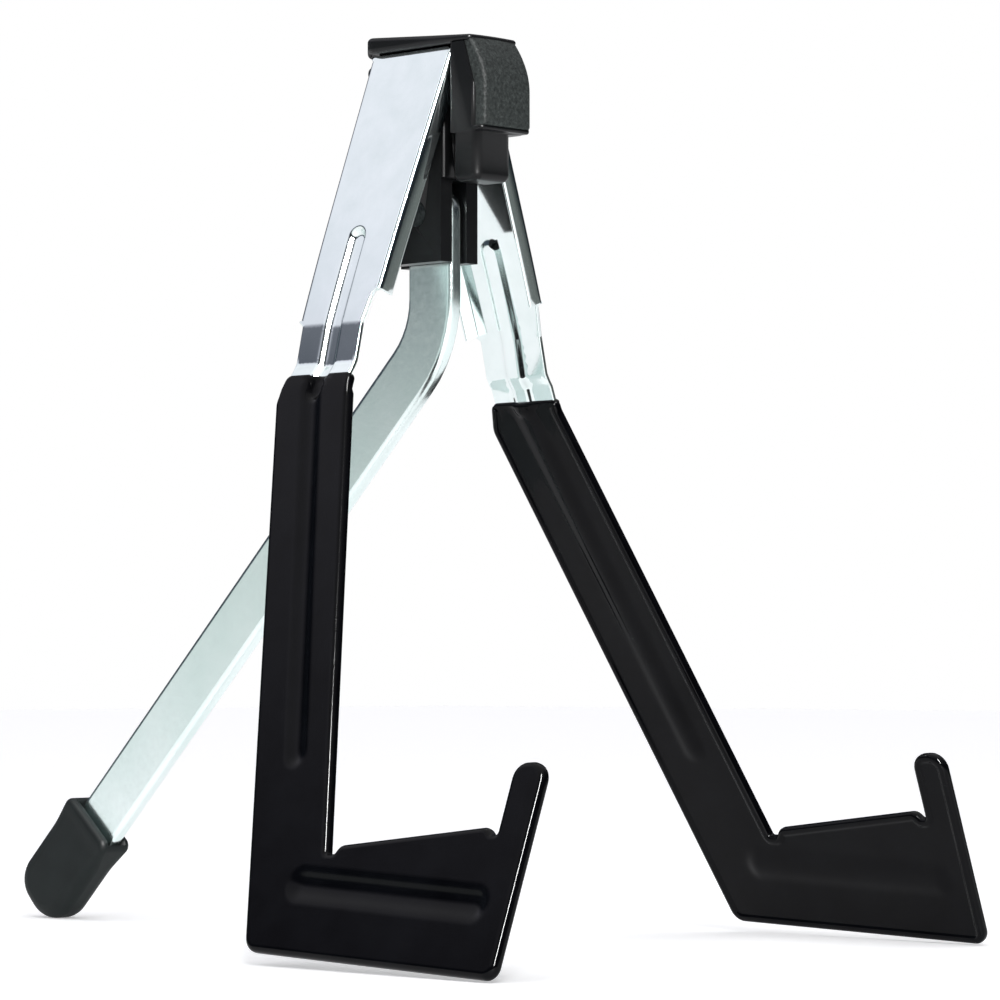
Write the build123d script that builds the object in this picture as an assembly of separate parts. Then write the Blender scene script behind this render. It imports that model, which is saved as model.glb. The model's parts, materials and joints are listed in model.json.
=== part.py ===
"""Folding pocket guitar stand: two cradle legs and one rear leg, hinged on a plastic head.

Frame: millimetres, +Z up, -Y to the front, where the instrument sits, and X across.
X = 0 is the mirror plane of the stand and Z = 0 is the floor. The pieces are drawn with Y = 0 near the
heels of the front legs, and written with Y = 0 midway between the front of the arms and the rear boot.
"""
from build123d import *
from math import cos, radians, sin, tan
import os

# ---- driving dimensions -------------------------------------------------------------------------
SPREAD = 20.3             # tilt of each front leg from the mirror plane, degrees
CLEAR = 0.3               # gap between pieces that pass each other
FIT = 0.05                # radial clearance of a pin in its hole

# hinges of the front legs
HINGE_X = 7.1
HINGE_Z = 303.0
HINGE_DROP = 4.0          # from the hinge axis out to the face of the leg plate
HINGE_PIN_R = 1.5
HINGE_HEAD_R = 2.6
HINGE_HEAD_T = 0.9

# front leg plate, pressed from one sheet (outline in Y and height, as seen from the side)
STEEL_T = 1.5
FLANGE_DEPTH = 7.0        # face to free edge, chrome upper part
LOWER_DEPTH = 2.2         # the same below the neck
JOGGLE = 1.5              # inward step of the sheet at the neck
JOGGLE_TOP_Z = 211.0
JOGGLE_LOW_Z = 198.0
COAT_T = 1.0              # vinyl dip over the sheet, below this height
COAT_TOP_Z = 194.0
COAT_R = 1.0              # rounding of the dip's outer edges
MIN_CORNER_R = 0.3        # least radius of an inner corner in the outline
TOP_LENGTH = 5.0          # sheet above the hinge axis, along the slope
UPPER_FRONT_Y = 25.5
UPPER_REAR_Y = 63.0
STEP_FRONT_Z = 222.0
STEP_REAR_Z = 212.5
NECK_FRONT_Y = 31.4
NECK_REAR_Y = 60.6
NECK_TOP_Z = 211.0
SHOULDER_Z = 190.5
FRONT_RATE = 0.3386       # forward run of the lower leg's front edge per unit of height
REAR_RATE = 0.321         # the same for its rear edge
LEG_FRONT_Y = 31.4        # front and rear edges of the lower leg at the shoulder
LEG_REAR_Y = 63.4
HEEL_Z = 6.6
TOE_RISE = 0.0345         # rake of the arm's bottom edge, rise per unit of run to the rear
TOE_R = 3.5
ARM_FRONT_Y = -106.0
ARM_TOP_REAR_Y = -23.5
ARM_TOP_REAR_Z = 36.5
ARM_TOP_FRONT_Y = -90.5
ARM_TOP_FRONT_Z = 44.5
HOOK_INNER_Y = -94.5
HOOK_TOP_Z = 65.0
NOTCH = 2.2               # depth of the relief notches at both ends of the arm's top edge
BEAD_HALF = 4.0
BEAD_DEPTH = 1.2
BEAD_TOP_Z = 240.0
BEAD_Y = 45.5
ARM_BEAD_Z = 24.0

# head
HEAD_HALF = 12.0
PAD_BACK_Y = 9.5
PAD_T = 4.4
LIP_T = 1.4               # shelf of the head under the pad
LIP_FRONT_Y = 5.8
PAD_BREAK_Z = 296.0       # above here the pad's face rolls back to the roof
HEAD_REAR_Y = 66.0
ROOF_TOP_Z = 314.0
ROOF_T = 4.4
HOUSING_REAR_Y = 22.0
HOUSING_BOTTOM_Z = 278.5
BOSS_FRONT_Y = 11.5
BOSS_REAR_Y = 24.2
BOSS_HALF = 8.6
BOSS_BOTTOM_Z = 262.0
SPINE_HALF = 3.7
BLOCK_HALF = 9.0
CHEEK_BOTTOM_Z = 235.0
SLOT_HALF = 3.5
SLOT_TOP_GAP = 0.3

# rear leg
PIVOT_Y = 41.0
PIVOT_Z = 252.0
PIVOT_PIN_R = 2.5
PIVOT_HEAD_R = 4.4
PIVOT_HEAD_SINK = 1.2
STRAP_WIDTH = 21.8
STRAP_DEPTH = 5.0
STRAP_T = 1.6
STRAP_TOP = 11.0          # strap above the pivot axis
KNEE_Z = 208.5
KNEE_R = 36.0             # bend radius of the strap's centre line
REAR_SLOPE = 45.9         # slope of the long run from the vertical, degrees
RUN_LENGTH = 268.0        # from the knee to the strap's end inside the boot
EYE_WALL = 2.5            # boss in the channel round the pivot
WASHER_R = 7.0
WASHER_T = 0.8

# rubber boot
BOOT_WIDTH = 28.6
BOOT_DEPTH = 14.0
BOOT_MOUTH = 248.0        # from the knee along the run
BOOT_RAKE = 2.5           # how much further forward the mouth is on the lower side
BOOT_LOW_R = 14.5
BOOT_HIGH_R = 10.5
BOOT_OFFSET = 1.2         # boot's middle above the strap's middle

COAT_FACE_X = HINGE_DROP - JOGGLE + COAT_T
LOWER_EDGE_X = HINGE_DROP - JOGGLE - LOWER_DEPTH
FLOOR_REACH = (HINGE_Z + (LOWER_EDGE_X - COAT_T) * sin(radians(SPREAD))) / cos(radians(SPREAD))
BLOCK_FRONT_Y = UPPER_FRONT_Y + STEEL_T + CLEAR
BLOCK_REAR_Y = UPPER_REAR_Y - STEEL_T - CLEAR
PIN_FRONT_Y = UPPER_FRONT_Y - CLEAR
PIN_REAR_Y = UPPER_REAR_Y + CLEAR

os.makedirs("parts", exist_ok=True)


# ---- helpers ------------------------------------------------------------------------------------
def along(z):
    """Distance up the slope of a front leg from its hinge axis, for a height in the standing pose."""
    return (z - HINGE_Z) / cos(radians(SPREAD))


def outline(corners):
    """Face in the Y-Z plane from (y, z, corner radius) points."""
    face = make_face(Polyline([(0, y, z) for y, z, _ in corners], close=True))
    for y, z, radius in corners:
        if radius:
            face = fillet(face.vertices().sort_by_distance((0, y, z))[0], radius)
    return face


def slab(face, x_low, x_high):
    """Solid of a Y-Z outline between two X values."""
    return extrude(face.moved(Location((x_low, 0, 0))), amount=x_high - x_low, dir=(1, 0, 0))


def profile(points, y_low, y_high):
    """Solid of an X-Z outline between two Y values."""
    face = make_face(Polyline([(x, y_low, z) for x, z in points], close=True))
    return extrude(face, amount=y_high - y_low, dir=(0, 1, 0))


def block(x_low, x_high, y_low, y_high, z_low, z_high):
    """Box between two corners."""
    size = (x_high - x_low, y_high - y_low, z_high - z_low)
    centre = ((x_low + x_high) / 2, (y_low + y_high) / 2, (z_low + z_high) / 2)
    return Location(centre) * Box(*size)


def rod_x(radius, x_low, x_high, y, z):
    """Cylinder along X."""
    return Location(((x_low + x_high) / 2, y, z), (0, 90, 0)) * Cylinder(radius, x_high - x_low)


def rod_y(radius, x, y_low, y_high, z):
    """Cylinder along Y."""
    return Location((x, (y_low + y_high) / 2, z), (90, 0, 0)) * Cylinder(radius, y_high - y_low)


def grown(corners, amount):
    """The same corner list, moved outward by an amount, with the outer corners' radii kept concentric."""
    count = len(corners)
    points = [Vector(y, z) for y, z, _ in corners]
    doubled_area = sum(points[i - 1].X * points[i].Y - points[i].X * points[i - 1].Y for i in range(count))
    outward = -1 if doubled_area > 0 else 1
    moved = []
    for i, (_, _, radius) in enumerate(corners):
        before = (points[i] - points[i - 1]).normalized()
        after = (points[(i + 1) % count] - points[i]).normalized()
        turn = before.X * after.Y - before.Y * after.X
        miter = Vector(-before.Y - after.Y, before.X + after.X) * (outward / (1 + before.dot(after)))
        convex = turn * outward < 0
        place = points[i] + miter * amount
        if radius and convex:
            radius = max(radius + amount, 0)
        elif radius:
            radius = max(radius - max(amount, 0), MIN_CORNER_R)
        moved.append((place.X, place.Y, radius))
    return moved


# ---- front legs (built flat: X = out from the hinge axis, Y as standing, Z = up the slope) --------
def leg_corners(top_open=0.0):
    """Corners of the pressed leg seen from the side: channel, neck, lower leg, arm and hook."""
    heel_run = REAR_RATE * (SHOULDER_Z - HEEL_Z)
    crotch_y = LEG_FRONT_Y - FRONT_RATE * (SHOULDER_Z - ARM_TOP_REAR_Z) + 1.0
    toe = COAT_T - FLOOR_REACH - TOE_RISE * TOE_R
    heel = toe + TOE_RISE * (LEG_REAR_Y - heel_run - ARM_FRONT_Y)
    top = TOP_LENGTH + top_open
    return [
        (UPPER_FRONT_Y, top, 0 if top_open else 1.5),
        (UPPER_REAR_Y, top, 0 if top_open else 1.5),
        (UPPER_REAR_Y, along(STEP_REAR_Z), 1.0),
        (NECK_REAR_Y, along(STEP_REAR_Z - 1.6), 1.0),
        (NECK_REAR_Y, along(SHOULDER_Z + 4), 0),
        (LEG_REAR_Y, along(SHOULDER_Z), 3.0),
        (LEG_REAR_Y - heel_run, heel, 5.0),
        (ARM_FRONT_Y, toe, TOE_R),
        (ARM_FRONT_Y, along(HOOK_TOP_Z), 5.0),
        (HOOK_INNER_Y, along(HOOK_TOP_Z - 1), 4.5),
        (HOOK_INNER_Y, along(ARM_TOP_FRONT_Z - NOTCH), 1.0),
        (HOOK_INNER_Y + 2.5, along(ARM_TOP_FRONT_Z - NOTCH), 0),
        (ARM_TOP_FRONT_Y + 1.5, along(ARM_TOP_FRONT_Z), 2.0),
        (ARM_TOP_REAR_Y - 2.5, along(ARM_TOP_REAR_Z + 0.6), 2.0),
        (ARM_TOP_REAR_Y - 0.5, along(ARM_TOP_REAR_Z - NOTCH), 0),
        (crotch_y, along(ARM_TOP_REAR_Z - NOTCH), 1.0),
        (LEG_FRONT_Y, along(SHOULDER_Z), 3.0),
        (NECK_FRONT_Y, along(SHOULDER_Z + 4), 0),
        (NECK_FRONT_Y, along(NECK_TOP_Z), 3.0),
        (UPPER_FRONT_Y + 3.5, along(STEP_FRONT_Z), 1.0),
        (UPPER_FRONT_Y, along(STEP_FRONT_Z), 0.8),
    ]


def sheet_side(inward):
    """X-Z line of the sheet's face, moved in by a distance, from the top down."""
    high = HINGE_DROP - inward
    low = HINGE_DROP - JOGGLE - inward
    return [(high, 20), (high, along(JOGGLE_TOP_Z)), (low, along(JOGGLE_LOW_Z)), (low, -FLOOR_REACH - 20)]


def between(outer_line, edge_high, edge_low):
    """Block of all space between a sheet line and the flanges' free edge line."""
    edge = [(edge_low, -FLOOR_REACH - 20), (edge_low, along(JOGGLE_LOW_Z)),
            (edge_high, along(JOGGLE_TOP_Z)), (edge_high, 20)]
    return profile(outer_line + edge, -150, 100)


def leg_steel():
    """Pressed plate with flanges all round, open at the top, with beads and a hinge hole."""
    edge = HINGE_DROP - FLANGE_DEPTH
    full = slab(outline(leg_corners()), -15, 15) & between(sheet_side(0), edge, LOWER_EDGE_X)
    hollow = slab(outline(grown(leg_corners(top_open=10), -STEEL_T)), -15, 15)
    hollow = hollow & between(sheet_side(STEEL_T), edge - 5, LOWER_EDGE_X - 5)
    plate = full - hollow
    behind = between(sheet_side(STEEL_T), -20, -20)
    neck_low = along(SHOULDER_Z + 4)
    plate = plate - (behind & block(-25, 25, 0, BEAD_Y, neck_low, along(STEP_FRONT_Z - 0.4)))
    plate = plate - (behind & block(-25, 25, BEAD_Y - 1, 80, neck_low, along(STEP_REAR_Z - 0.4)))
    for groove, rib, _ in beads():
        plate = (plate + rib) - groove
    plate = plate - rod_y(HINGE_PIN_R + FIT, 0, UPPER_FRONT_Y - 5, UPPER_REAR_Y + 5, 0)
    return plate


def bead_pair(y_a, z_a, y_b, z_b, face_x):
    """Groove in the sheet's face, the matching rib behind it, and the rib's coat."""
    start = Vector(0, y_a, along(z_a))
    end = Vector(0, y_b, along(z_b))
    line = Line(start, end)
    pair = []
    rib_back = face_x - BEAD_DEPTH - STEEL_T
    for half, low, high in ((BEAD_HALF, face_x - BEAD_DEPTH, face_x + 1),
                            (BEAD_HALF + STEEL_T, rib_back, face_x - STEEL_T / 2),
                            (BEAD_HALF + STEEL_T + COAT_T, rib_back - COAT_T, face_x - STEEL_T / 2)):
        across = (end - start).normalized().cross(Vector(1, 0, 0)) * half
        body = make_face(Polyline([start + across, end + across, end - across, start - across], close=True))
        shape = slab(body, low, high)
        for tip in (start, end):
            shape = shape + rod_x(half, low, high, tip.Y, tip.Z)
        pair.append(shape)
    return pair


def beads():
    """Stiffening beads of one leg: channel, lower leg and arm."""
    high = HINGE_DROP
    low = HINGE_DROP - JOGGLE
    middle = (LEG_FRONT_Y + LEG_REAR_Y) / 2
    leg_foot_y = middle - FRONT_RATE * (SHOULDER_Z - 62)
    yield bead_pair(BEAD_Y, BEAD_TOP_Z, BEAD_Y + 1, JOGGLE_TOP_Z + 8, high)
    yield bead_pair(middle + 0.5, SHOULDER_Z, leg_foot_y, 62, low)
    yield bead_pair(-16, ARM_BEAD_Z, -92, ARM_BEAD_Z - 2, low)


def leg_coat(steel):
    """Vinyl dip that wraps the plate below the neck, inside and outside."""
    clip = block(-20, 20, -150, 100, -FLOOR_REACH - 5, along(COAT_TOP_Z))
    skin = slab(outline(grown(leg_corners(), COAT_T)), LOWER_EDGE_X - COAT_T, COAT_FACE_X) & clip
    sharp = skin.edges().filter_by_position(Axis.X, COAT_FACE_X - 0.01, COAT_FACE_X + 0.01)
    sharp = [edge for edge in sharp if edge.center().Z < along(COAT_TOP_Z) - 0.1]
    skin = fillet(sharp, COAT_R)
    pocket = outline(grown(leg_corners(top_open=10), -STEEL_T - COAT_T))
    room = slab(pocket, -20, HINGE_DROP - JOGGLE - STEEL_T - COAT_T)
    coat = skin - room
    for _, _, cover in list(beads())[1:]:
        coat = coat + (cover & clip)
    return coat - steel


def stand_leg(shape, side):
    """Flat-built leg piece to its standing place on one side."""
    placed = Location((HINGE_X, 0, HINGE_Z), (0, -SPREAD, 0)) * shape
    return placed if side > 0 else mirror(placed, about=Plane.YZ)


def hinge_pin():
    """Hinge rivet with a formed head at each end."""
    pin = rod_y(HINGE_PIN_R, HINGE_X, PIN_FRONT_Y, PIN_REAR_Y, HINGE_Z)
    pin = pin + rod_y(HINGE_HEAD_R, HINGE_X, PIN_FRONT_Y - HINGE_HEAD_T, PIN_FRONT_Y, HINGE_Z)
    return pin + rod_y(HINGE_HEAD_R, HINGE_X, PIN_REAR_Y, PIN_REAR_Y + HINGE_HEAD_T, HINGE_Z)


# ---- head ---------------------------------------------------------------------------------------
def head_body():
    """Moulded head: roof, pad housing, boss, spine, hinge block and two cheeks."""
    roof_low = ROOF_TOP_Z - ROOF_T
    housing = block(-HEAD_HALF, HEAD_HALF, PAD_BACK_Y, HOUSING_REAR_Y, HOUSING_BOTTOM_Z, roof_low)
    boss = block(-BOSS_HALF, BOSS_HALF, BOSS_FRONT_Y, BOSS_REAR_Y, BOSS_BOTTOM_Z, HOUSING_BOTTOM_Z)
    housing = fillet(housing.edges().filter_by(Axis.Z), 1.6)
    lip_top = HOUSING_BOTTOM_Z + LIP_T
    lip = block(-HEAD_HALF, HEAD_HALF, LIP_FRONT_Y, HOUSING_REAR_Y, HOUSING_BOTTOM_Z, lip_top)
    lip = fillet(lip.edges().filter_by(Axis.Z), 1.6)
    housing = housing + fillet(lip.edges().group_by(Axis.Z)[0], 0.8)
    boss = fillet(boss.edges().filter_by(Axis.Z), 3.0)
    boss = fillet(boss.edges().group_by(Axis.Z)[0], 2.4)
    spine = block(-SPINE_HALF, SPINE_HALF, BOSS_REAR_Y - 4, BLOCK_FRONT_Y + 3, PIVOT_Z + 15, roof_low)
    hinge_block = block(-BLOCK_HALF, BLOCK_HALF, BLOCK_FRONT_Y, BLOCK_REAR_Y, CHEEK_BOTTOM_Z, roof_low)
    for side in (-1, 1):
        inner = HINGE_DROP - STEEL_T - CLEAR
        wedge = profile([(inner, -12), (inner, 12), (30, 12), (30, -12)], BLOCK_FRONT_Y - 1, BLOCK_REAR_Y + 1)
        hinge_block = hinge_block - stand_leg(wedge, side)
    for side in (-1, 1):
        edge = HINGE_DROP - FLANGE_DEPTH - CLEAR
        room = profile([(edge, -60), (edge, 12), (30, 12), (30, -60)], UPPER_FRONT_Y - CLEAR, BLOCK_FRONT_Y)
        spine = spine - stand_leg(room, side)
    body = housing + boss + spine + hinge_block
    body = fillet(body.edges().filter_by(Axis.Z).filter_by_position(Axis.Z, CHEEK_BOTTOM_Z, PIVOT_Z + 30)
                  .filter_by_position(Axis.Y, BLOCK_FRONT_Y - 0.1, BLOCK_REAR_Y + 0.1), 1.2)
    slot_top = PIVOT_Z + STRAP_TOP + SLOT_TOP_GAP
    slot = block(-SLOT_HALF, SLOT_HALF, BOSS_REAR_Y - 0.01, BLOCK_REAR_Y + 1, CHEEK_BOTTOM_Z - 1, slot_top)
    body = body - slot
    body = body - rod_x(PIVOT_PIN_R + FIT, -20, 20, PIVOT_Y, PIVOT_Z)
    for side in (-1, 1):
        face = side * BLOCK_HALF
        inner = side * (BLOCK_HALF - PIVOT_HEAD_SINK - CLEAR)
        body = body - rod_x(PIVOT_HEAD_R + CLEAR, min(face, inner), max(face, inner), PIVOT_Y, PIVOT_Z)
        body = body - rod_y(HINGE_PIN_R + FIT, side * HINGE_X, BLOCK_FRONT_Y - 1, BLOCK_REAR_Y + 1, HINGE_Z)
    return body


def head_cap():
    """Roof plate over the legs' upper ends, with a dropped lip at the rear."""
    plate = block(-HEAD_HALF, HEAD_HALF, PAD_BACK_Y, HEAD_REAR_Y, ROOF_TOP_Z - ROOF_T, ROOF_TOP_Z)
    plate = fillet(plate.edges().filter_by(Axis.Z).group_by(Axis.Y)[-1], 6)
    return fillet(plate.faces().sort_by(Axis.Z)[-1].edges().sort_by(Axis.Y)[1:], 1.5)


def rubber_pad():
    """Grained rubber pad on the front of the head."""
    back = PAD_BACK_Y
    front = PAD_BACK_Y - PAD_T
    low = HOUSING_BOTTOM_Z + LIP_T
    side = outline([
        (back, low, 0),
        (front, low, 1.0),
        (front, PAD_BREAK_Z, 12.0),
        (back - 0.8, ROOF_TOP_Z - 0.4, 0.5),
        (back, ROOF_TOP_Z - 0.4, 0),
    ])
    return slab(side, -HEAD_HALF, HEAD_HALF)


def pivot_rivet():
    """Rear leg's pivot with a sunk head on each cheek."""
    reach = BLOCK_HALF - 0.1
    pin = rod_x(PIVOT_PIN_R, -reach, reach, PIVOT_Y, PIVOT_Z)
    for side in (-1, 1):
        low, high = sorted((side * (reach - PIVOT_HEAD_SINK), side * reach))
        pin = pin + rod_x(PIVOT_HEAD_R, low, high, PIVOT_Y, PIVOT_Z)
    return pin


def friction_washer(side):
    """Thin washer between the rear leg and one cheek."""
    low, high = sorted((side * STRAP_DEPTH / 2, side * (STRAP_DEPTH / 2 + WASHER_T)))
    hole = rod_x(PIVOT_PIN_R + FIT, -20, 20, PIVOT_Y, PIVOT_Z)
    return rod_x(WASHER_R, low, high, PIVOT_Y, PIVOT_Z) - hole


# ---- rear leg -----------------------------------------------------------------------------------
RUN = (sin(radians(REAR_SLOPE)), -cos(radians(REAR_SLOPE)))
RISE = (cos(radians(REAR_SLOPE)), sin(radians(REAR_SLOPE)))


def on_run(distance, height):
    """Point (y, z) on the rear leg's long run: distance from the knee, height above its middle."""
    y = PIVOT_Y + distance * RUN[0] + height * RISE[0]
    z = KNEE_Z + distance * RUN[1] + height * RISE[1]
    return y, z


def strap_outline(margin=0.0, top_open=0.0, end_open=0.0):
    """Side outline of the bent strap, shrunk by a margin."""
    half = STRAP_WIDTH / 2 - margin
    turn = tan(radians(REAR_SLOPE / 2))
    top = PIVOT_Z + STRAP_TOP + top_open
    front_radius = 0 if top_open else STRAP_WIDTH / 2 - 0.4
    end = RUN_LENGTH + end_open
    inner = on_run(half * turn, half)
    outer = on_run(-half * turn, -half)
    return outline([
        (PIVOT_Y - half, top, front_radius),
        (PIVOT_Y + half, top, 0),
        (*inner, KNEE_R - half),
        (*on_run(end, half), 0),
        (*on_run(end, -half), 0),
        (*outer, KNEE_R + half),
    ])


def rear_strap():
    """Steel channel: a web on the -X side with an edge flange along both sides."""
    half = STRAP_DEPTH / 2
    strap = slab(strap_outline(), -half, half)
    strap = strap - slab(strap_outline(STRAP_T, 0, 10), -half + STRAP_T, half + 1)
    strap = strap + rod_x(PIVOT_PIN_R + EYE_WALL, -half, half, PIVOT_Y, PIVOT_Z)
    return strap - rod_x(PIVOT_PIN_R + FIT, -10, 10, PIVOT_Y, PIVOT_Z)


def rear_boot():
    """Rubber boot pushed over the strap's lower end."""
    low = BOOT_OFFSET - BOOT_WIDTH / 2
    high = BOOT_OFFSET + BOOT_WIDTH / 2
    centre = on_run(0, low + BOOT_LOW_R)
    end = (centre[1] - BOOT_LOW_R) / -RUN[1] + BOOT_LOW_R
    face = outline([
        (*on_run(BOOT_MOUTH - BOOT_RAKE, low), 1.0),
        (*on_run(BOOT_MOUTH, high), 1.0),
        (*on_run(end, high), BOOT_HIGH_R),
        (*on_run(end, low), BOOT_LOW_R),
    ])
    boot = slab(face, -BOOT_DEPTH / 2, BOOT_DEPTH / 2)
    boot = fillet(boot.faces().filter_by(Axis.X).edges(), 3.0)
    socket = slab(strap_outline(), -STRAP_DEPTH / 2, STRAP_DEPTH / 2)
    return boot - socket


def all_pieces():
    """Every piece by name, as drawn."""
    steel = leg_steel()
    coat = leg_coat(steel)
    pin = hinge_pin()
    pieces = {
        "head_body": head_body(),
        "head_cap": head_cap(),
        "rubber_pad": rubber_pad(),
        "rear_leg_strap": rear_strap(),
        "rear_leg_pivot": pivot_rivet(),
        "rear_boot": rear_boot(),
    }
    for name, side in (("left", -1), ("right", 1)):
        pieces[f"{name}_leg_plate"] = stand_leg(steel, side)
        pieces[f"{name}_leg_coating"] = stand_leg(coat, side)
        pieces[f"{name}_hinge_pin"] = pin if side > 0 else mirror(pin, about=Plane.YZ)
        pieces[f"{name}_friction_washer"] = friction_washer(side)
    return pieces


def main():
    """Centre the stand front to back and write each piece."""
    pieces = all_pieces()
    front = pieces["right_leg_coating"].bounding_box().min.Y
    rear = pieces["rear_boot"].bounding_box().max.Y
    centred = Location((0, -(front + rear) / 2, 0))
    for name, shape in pieces.items():
        placed = centred * shape
        placed.label = name
        export_step(placed, f"parts/{name}.step")


main()
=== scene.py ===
import json
from math import ceil, cos, pi, radians, sin, sqrt, tan

import bmesh
import bpy
import numpy as np
from mathutils import Matrix, Vector
from mathutils.geometry import delaunay_2d_cdt


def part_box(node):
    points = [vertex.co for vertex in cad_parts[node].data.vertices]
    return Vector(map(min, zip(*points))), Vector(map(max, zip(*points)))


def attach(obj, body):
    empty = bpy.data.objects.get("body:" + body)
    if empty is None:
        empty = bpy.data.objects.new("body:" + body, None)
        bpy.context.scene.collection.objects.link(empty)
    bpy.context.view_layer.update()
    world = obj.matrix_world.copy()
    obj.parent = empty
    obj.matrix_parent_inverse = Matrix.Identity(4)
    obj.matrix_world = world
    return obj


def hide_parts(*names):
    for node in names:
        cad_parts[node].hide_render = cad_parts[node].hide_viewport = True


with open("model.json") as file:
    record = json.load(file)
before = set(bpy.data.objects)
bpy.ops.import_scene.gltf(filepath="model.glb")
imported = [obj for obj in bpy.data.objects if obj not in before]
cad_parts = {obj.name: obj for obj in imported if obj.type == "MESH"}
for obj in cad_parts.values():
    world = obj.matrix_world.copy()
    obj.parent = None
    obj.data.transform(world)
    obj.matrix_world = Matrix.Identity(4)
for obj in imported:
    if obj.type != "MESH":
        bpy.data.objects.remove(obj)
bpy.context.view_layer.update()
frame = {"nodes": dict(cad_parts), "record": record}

# Looks of the folding guitar stand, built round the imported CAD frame. The frame is in metres, +Z up and -Y to
# the front. Pieces are drawn in millimetres: Y = 0 near the heels, Z = 0 on the floor. Angles are in degrees.
MM = 0.001
SMOOTH_ANGLE = 38
QUARTER = np.linspace(0, pi / 2, 7)
SHORT_QUARTER = np.linspace(0, pi / 2, 6)
HALF_TURN = np.linspace(0, pi, 7)
LOOP_STEP = 2.5           # spacing of points along straight edges
CIRCLE_POINTS = 24
ARC_STEP = 9              # and round corners, in degrees
GUARD = 0.25              # ring of flat surface inside each bend, so that the web shades flat

# ---- front legs: chromed sheet --------------------------------------------------------------------
SPREAD = 20.3             # lean of each front leg
HINGE_DROP = 4.0          # from the hinge axis out to the web's face
STEEL_T = 1.5
FLANGE_DEPTH = 7.0        # of the bare channel
LOWER_DEPTH = 2.2         # of the dipped part's rim
JOGGLE = 1.5              # how far the dipped part is set in from the channel
JOGGLE_TOP_Z = 211.0
JOGGLE_LOW_Z = 198.0
BOW = 0.75                # inward bow of the sheet above the joggle
NECK_DIP = 1.9            # step of the sheet inward down the neck
BOW_TOP_Z = 250.0
TOP_LENGTH = 5.0          # up the slope from the hinge to the top edge
UPPER_FRONT_Y = 25.5
UPPER_REAR_Y = 63.0
STEP_FRONT_Z = 222.0
STEP_REAR_Z = 212.5
NECK_FRONT_Y = 31.4
NECK_REAR_Y = 60.6
NECK_TOP_Z = 211.0
SPLAY = 2.6               # front edge of the channel, forward at its top
TUCK = 1.4                # and back at its bottom
CHANNEL_R = 2.6
BEND_R = 2.0
CREASE_R = 0.8
RIB_SHARE = 0.5           # height of a bead's rib on the inner side, as a share of its depth outside
HIDDEN_LENGTH = 7.0       # sheet drawn below the shoulder, inside the dip
PIN_BORE_R = 1.6
PIN_HEAD_HOLE_R = 2.75
CREASE_ROWS_Z = (212.4, 211.7, 211.0, 210.2, 209.2, 199.6, 198.8, 198.0, 197.3, 196.6)

# ---- front legs: vinyl dip ------------------------------------------------------------------------
COAT_T = 1.0
COAT_TOP_Z = 194.0
COAT_CROWN = 0.25         # how far the dip draws in at its top edge
COAT_CROWN_REACH = 3.0
RIGHT_DIP_DROP = 4.5      # the right leg's dip starts this much lower
SHOULDER_Z = 190.5
FRONT_RATE = 0.3386       # how fast the lower leg's edges run forward going down
REAR_RATE = 0.321
LEG_FRONT_Y = 31.4
LEG_REAR_Y = 63.4
TOE_RISE = 0.0345         # slope of the lower edge, heel above toe
TOE_R = 3.5
ARM_FRONT_Y = -106.0
ARM_TOP_REAR_Y = -23.5
ARM_TOP_REAR_Z = 36.5
ARM_TOP_FRONT_Y = -90.5
ARM_TOP_FRONT_Z = 44.5
HOOK_INNER_Y = -94.5
HOOK_TOP_Z = 65.0
HEEL_Z = 6.6              # height the rear edge is aimed at
NOTCH = 2.2               # depth of the small steps at both ends of the cradle
NOTCH_R = 0.8
RIM_R = 2.0
RIM_LOW_R = 1.5

# ---- head, roof and pad ---------------------------------------------------------------------------
HEAD_HALF = 12.0
PAD_HALF = 11.3
PAD_BACK_Y = 9.5
PAD_T = 4.8
PAD_ROLL = 8.0            # how far the pad's face rolls back at its top
PAD_EDGE_R = 1.1
PAD_CROWN = 0.35          # swelling of its face across the width
PAD_LOW_Z = 279.9
PAD_TOP_Z = 311.6
PAD_BREAK_Z = 293.0
ROOF_TOP_Z = 314.0
ROOF_T = 4.4
ROOF_REAR_Y = 66.0
ROOF_TILT = 0.075         # rise of the roof per millimetre to the rear
ROOF_EDGE_R = 1.7
ROOF_CROWN = 0.25
ROOF_LIP = 1.2
ROOF_LIP_Y = (63.4, 64.6)
CUT_HALF = 20             # half length of the cuts that go right through the head
CHEEK_TRIM_Y = (27.0, 28.7)
CHEEK_TRIM_Z = (230, 264)
FLANGE_ROOM_X = (1.6, 9)
FLANGE_ROOM_Y = (22.3, 25.4)
FLANGE_ROOM_Z = (275, 309.8)
HEAD_SMOOTH_ANGLE = 30

# ---- rear leg and boot ----------------------------------------------------------------------------
STRAP_WIDTH = 21.8
STRAP_DEPTH = 5.0
STRAP_T = 1.6
STRAP_TOP = 11.0          # above the pivot
STRAP_BEND_R = 1.9
STRAP_CORNER_R = 2.6
KNEE_Z = 208.5
KNEE_R = 36.0
REAR_SLOPE = 45.9         # of the long run below the knee, from upright
RUN_LENGTH = 268.0
PIN_HOLE_R = 2.55
BOOT_WIDTH = 28.6
BOOT_DEPTH = 14.0
BOOT_MOUTH = 248.0        # along the run from the knee
BOOT_RAKE = 2.5           # slant of the mouth across the boot's width
BOOT_LOW_R = 14.2
BOOT_HIGH_R = 10.5
BOOT_OFFSET = 1.2         # of the boot's middle above the strap's
BOOT_LIP = 0.25           # how proud the lip round the mouth stands
BOOT_LIP_LENGTH = 3.2
BOOT_MOUTH_R = 3.6
SOCKET_LOW = 0.9          # room in the boot's socket past the strap's low and high edges, and its faces
SOCKET_HIGH = 1.2
SOCKET_SIDE = 1.6
SOCKET_DEPTH = 12

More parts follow.
